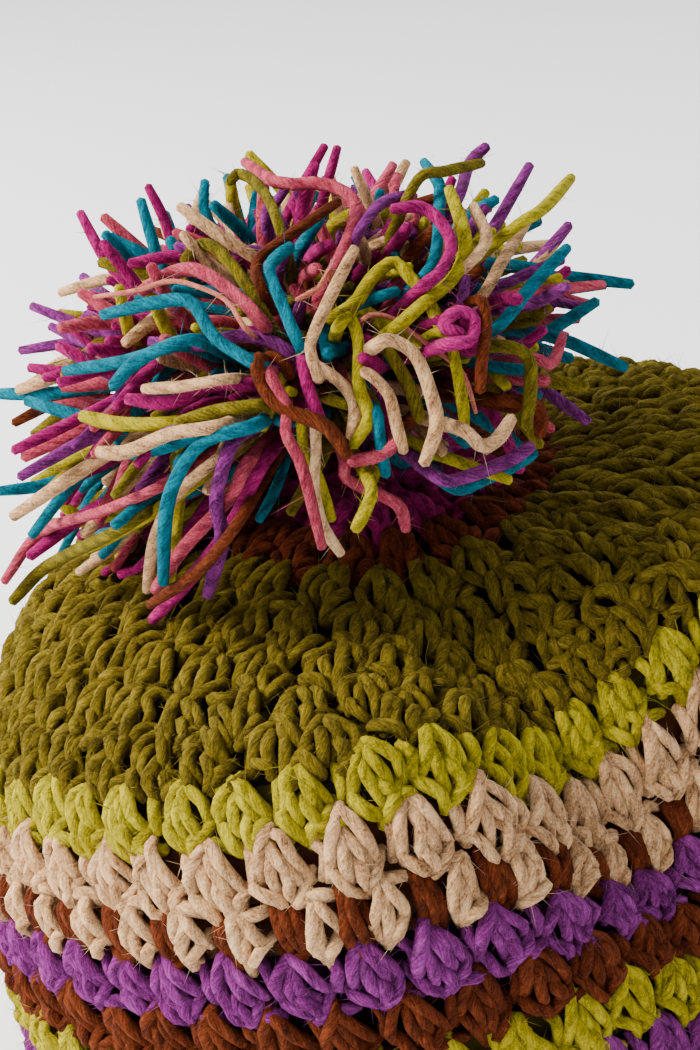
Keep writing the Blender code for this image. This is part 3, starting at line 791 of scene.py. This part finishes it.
def camera_axes():
    """The camera's place and its axes: right, up and forward."""
    rise, roll = math.radians(CAMERA_RISE_DEG), math.radians(CAMERA_ROLL_DEG)
    forward = np.array([0.0, math.cos(rise), -math.sin(rise)])
    level, steep = np.array([1.0, 0.0, 0.0]), np.array([0.0, math.sin(rise), math.cos(rise)])
    right = level * math.cos(roll) - steep * math.sin(roll)
    up = steep * math.cos(roll) + level * math.sin(roll)
    aside = (CROWN_PIXEL[0] - PHOTO_SIZE[0] / 2) / PIXELS_PER_MM * MM
    above = (PHOTO_SIZE[1] / 2 - CROWN_PIXEL[1]) / PIXELS_PER_MM * MM
    crown = np.array([CROWN[0], CROWN[1], CROWN_HEIGHT])
    place = crown - forward * CAMERA_DISTANCE - right * aside - up * above
    return place, right, up, forward


POMPOM = np.array([CROWN[0], CROWN[1], CROWN_HEIGHT]) + POMPOM_OFFSET


def on_pompom(pixels, swell):
    """Places on the pom-pom's near face behind pixels of the photograph.

    A ray from the camera through each pixel meets the pom-pom's ellipsoid, grown by swell. A
    ray that misses takes the place where it passes nearest.
    """
    place, right, up, forward = camera_axes()
    focal = PIXELS_PER_MM * CAMERA_DISTANCE / MM
    x = (pixels[:, 0] - PHOTO_SIZE[0] / 2) / focal
    y = (PHOTO_SIZE[1] / 2 - pixels[:, 1]) / focal
    ray = forward + right * x[:, None] + up * y[:, None]
    half = np.array(POMPOM_HALF) * swell
    start, way = (place - POMPOM) / half, ray / half
    a, b, c = (way * way).sum(-1), (start * way).sum(-1), (start * start).sum() - 1
    inside = np.maximum(b * b - a * c, 0.0)
    reach = (-b - np.sqrt(inside)) / a
    return place + ray * reach[:, None]


def crown_height(places):
    """The fabric's height under places, read from the nearest of a grid of its points.

    A place that has none of the points within CROWN_SEARCH gets -1, below everything.
    """
    bearing, along = np.meshgrid(np.linspace(0, math.tau, 97), np.linspace(0.0, 0.6, 49))
    points = fabric(bearing, along).reshape(-1, 3)
    flat = places.reshape(-1, 3)
    gap = ((flat[:, None, :2] - points[None, :, :2]) ** 2).sum(-1)
    near = gap.argmin(1)
    height = np.where(gap.min(1) < CROWN_SEARCH**2, points[near, 2], -1.0)
    return height.reshape(places.shape[:-1])


def rest_on_crown(paths, radius):
    """Lifts what would sink into the crown, so that it lies on the stitches."""
    floor = crown_height(paths) + CROWN_STAND + radius
    paths[..., 2] = np.maximum(paths[..., 2], floor)
    return paths


def near_strands():
    """The listed strands, by colour: out of the pom-pom's middle, then over its near face.

    A stretch that would sink into the crown comes towards the camera, so that it keeps its
    place in the view and lies on the stitches.
    """
    _, _, _, forward = camera_axes()
    found = {}
    for number, (wool, pixels) in enumerate(NEAR_STRANDS):
        swell = NEAR_LOWEST + NEAR_SPREAD * ((number * 7) % NEAR_LAYERS) / (NEAR_LAYERS - 1)
        over = on_pompom(np.array(pixels, float), swell)
        for _ in range(NEARER_TRIES):
            sunk = over[:, 2] < crown_height(over) + CROWN_STAND + STRAND_RADIUS
            over -= sunk[:, None] * forward * NEARER_MM * MM
        hidden = [POMPOM + share * (over[0] - POMPOM) for share in HIDDEN_SHARES]
        points = np.concatenate([hidden, over])
        found.setdefault(wool, []).append(smooth_paths(points[None], NEAR_STEPS)[0])
    return {wool: rest_on_crown(np.array(paths), STRAND_RADIUS) for wool, paths in found.items()}


def loose_strands():
    """The pom-pom's other strands, by colour.

    Their ways out are spread evenly by the golden angle. Each strand runs from near the middle
    to a squarish ellipsoid, where the shares of its half sizes, each to the squareness, sum to
    1. It bends aside by two random offsets, curls, sags by a power of its way out, is drawn in
    where it passes the ellipsoid too far, and is lifted off the crown. Low in front the
    strands are short and few, where the yarn parts. Low at the right they are shorter, over
    the crown's high shoulder. None ends low before the crown's centre.
    """
    chance = np.random.default_rng(5)
    number = np.arange(LOOSE_STRANDS)
    height = LOOSE_LOWEST + LOOSE_RISE * (number + 0.5) / LOOSE_STRANDS
    height = np.clip(height + chance.normal(size=LOOSE_STRANDS) * 0.03, -0.70, 0.995)
    turn = number * math.pi * (3 - math.sqrt(5)) + chance.normal(size=LOOSE_STRANDS) * 0.12
    flat = np.sqrt(1 - height**2)
    out = np.stack([flat * np.sin(turn), -flat * np.cos(turn), height], -1)
    parted = np.clip((-0.18 - out[:, 1]) / 0.30, 0, 1) * np.clip((0.20 - height) / 0.30, 0, 1)
    shares = (np.abs(out) / LOOSE_HALF) ** POMPOM_SQUARENESS
    reach = shares.sum(-1) ** (-1 / POMPOM_SQUARENESS)
    crowded = np.clip((out[:, 0] - 0.10) / 0.40, 0, 1) * np.clip((0.30 - height) / 0.35, 0, 1)
    reach = reach * chance.uniform(*LOOSE_REACH, LOOSE_STRANDS)
    reach = reach * (1 - PARTED_CUT * parted) * (1 - CROWDED_CUT * crowded)
    at = np.linspace(0, 1, 6)[None, :, None]
    run = KNOT_RADIUS + (reach[:, None, None] - KNOT_RADIUS) * at
    paths = out[:, None] * run
    for power, size in BENDS:
        aside = chance.normal(size=(LOOSE_STRANDS, 1, 3)) * size
        aside -= (aside * out[:, None]).sum(-1, keepdims=True) * out[:, None] * 0.8
        paths = paths + aside * reach[:, None, None] * at**power * 0.5
    curl = np.sin(at * math.pi * chance.uniform(1.0, 2.4, (LOOSE_STRANDS, 1, 1)))
    paths = paths + curl * chance.normal(size=(LOOSE_STRANDS, 1, 3)) * CURL_MM * MM
    sag = chance.uniform(*SAG, (LOOSE_STRANDS, 1)) * flat[:, None] * reach[:, None]
    paths[..., 2] -= sag * at[..., 0] ** SAG_POWER
    shares = ((np.abs(paths) / LOOSE_HALF) ** POMPOM_SQUARENESS).sum(-1)
    farthest = shares.max(1) ** (1 / POMPOM_SQUARENESS)
    paths *= np.minimum(1, FARTHEST_TIP / farthest)[:, None, None]
    paths = rest_on_crown(smooth_paths(paths + POMPOM, LOOSE_STEPS), STRAND_RADIUS)
    shares = np.cumsum(list(STRAND_COLOURS.values()))
    picks = np.searchsorted(shares, chance.uniform(0, shares[-1], LOOSE_STRANDS))
    x, y, z = (paths[:, -1] - POMPOM).T / MM
    left, back, top = BEFORE_CROWN_MM
    before_crown = (x > left) & (y < back) & (z < top)
    thinned = chance.uniform(size=LOOSE_STRANDS) < PARTED_SHARE * parted
    picks = np.where(before_crown | thinned, -1, picks)
    return {wool: paths[picks == place] for place, wool in enumerate(STRAND_COLOURS)}


def make_pompom():
    """The pom-pom's strands, one piece a colour."""
    near, loose = near_strands(), loose_strands()
    for number, wool in enumerate(STRAND_COLOURS):
        chance = np.random.default_rng(300 + number)
        weave = Weave()
        thick = THREAD_RADIUS if wool == "coral" else STRAND_RADIUS
        for paths in (near[wool], loose[wool]):
            if len(paths):
                size = thick * chance.uniform(*STRAND_SIZES, (len(paths), 1))
                at = np.linspace(0, 1, paths.shape[1])
                wave = 1 + STRAND_WAVE * np.sin(9 * at) - TIP_TAPER * at**14
                tone = chance.normal(size=len(paths)) * STRAND_TONES
                weave.tubes(paths, size * wave, STRAND_SIDES, tone)
                hairs(weave, paths, thick, len(paths) * STRAND_HAIR_COUNT, chance, STRAND_HAIR)
        piece = weave.mesh("pompom_" + wool + "_yarn")
        piece.data.materials.append(MATERIALS[wool])
        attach(piece, "root")
        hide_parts("pompom")


def make_stage():
    """A pale seamless floor, matt, which carries on past the view."""
    material = bpy.data.materials.new("matt_white_paper")
    material.use_nodes = True
    tree = material.node_tree
    shader = tree.nodes["Principled BSDF"]
    place = add(tree, "ShaderNodeTexCoord")
    grain_look = {"Vector": place.outputs["Object"], "Scale": 900.0, "Detail": 2.0}
    grain = add(tree, "ShaderNodeTexNoise", grain_look)
    relief = {"Height": grain.outputs[0], "Strength": 0.05, "Distance": 0.1 * MM}
    bump = add(tree, "ShaderNodeBump", relief)
    tree.links.new(bump.outputs[0], shader.inputs["Normal"])
    shader.inputs["Base Color"].default_value = linear("#f1f1f2")
    shader.inputs["Roughness"].default_value = 0.9
    half, mesh = 6.0, bpy.data.meshes.new("floor")
    corners = [(-half, -half, 0), (half, -half, 0), (half, half, 0), (-half, half, 0)]
    mesh.from_pydata(corners, [], [(0, 1, 2, 3)])
    mesh.materials.append(material)
    floor = bpy.data.objects.new("floor", mesh)
    bpy.context.scene.collection.objects.link(floor)


def area_light(name, place, target, size, watts, colour):
    """A soft square light that faces its target."""
    light = bpy.data.lights.new(name, "AREA")
    light.shape, light.size, light.energy = "SQUARE", size, watts
    light.color = linear(colour)[:3]
    lamp = bpy.data.objects.new(name, light)
    lamp.location = place
    lamp.rotation_euler = (Vector(target) - Vector(place)).to_track_quat("-Z", "Y").to_euler()
    bpy.context.scene.collection.objects.link(lamp)


def make_light():
    """Soft studio light in a pale room.

    A window lights from the upper left, a weak fill from behind at the right, and a third
    light falls on the floor at the left, behind the hat.
    """
    area_light("window_light", (-0.92, -0.24, 0.98), (0, 0, 0.12), 0.5, 44.0, "#fff8ee")
    area_light("fill_light", (0.55, 0.60, 0.95), (0.03, 0, 0.12), 0.8, 8.0, "#f6f7ff")
    area_light("floor_light", (-1.15, 0.95, 0.70), (-0.80, 0.95, 0.0), 0.5, 44.0, "#ffffff")
    world = bpy.data.worlds.new("pale_room")
    world.use_nodes = True
    world.node_tree.nodes["Background"].inputs[0].default_value = linear("#f4f4f5")
    world.node_tree.nodes["Background"].inputs[1].default_value = 0.86
    bpy.context.scene.world = world


def make_camera():
    """The photograph's view, with its own roll."""
    place, right, up, forward = camera_axes()
    camera = bpy.data.cameras.new("camera")
    camera.sensor_width = SENSOR_MM
    camera.lens = PIXELS_PER_MM * CAMERA_DISTANCE / MM * SENSOR_MM / PHOTO_SIZE[1]
    holder = bpy.data.objects.new("camera", camera)
    turn = Matrix(np.stack([right, up, -forward], 1).tolist()).to_4x4()
    holder.matrix_world = Matrix.Translation(Vector(place.tolist())) @ turn
    bpy.context.scene.collection.objects.link(holder)
    bpy.context.scene.camera = holder


MATERIALS = {wool: wool_yarn(wool + "_wool_yarn", tones) for wool, tones in WOOL.items()}
for number, (name, wool, slot, rounds, leaf) in enumerate(ROUNDS):
    dress_round(name, wool, rounds, leaf, number)
dress_brown_legs()
make_pompom()
make_stage()
make_light()
make_camera()
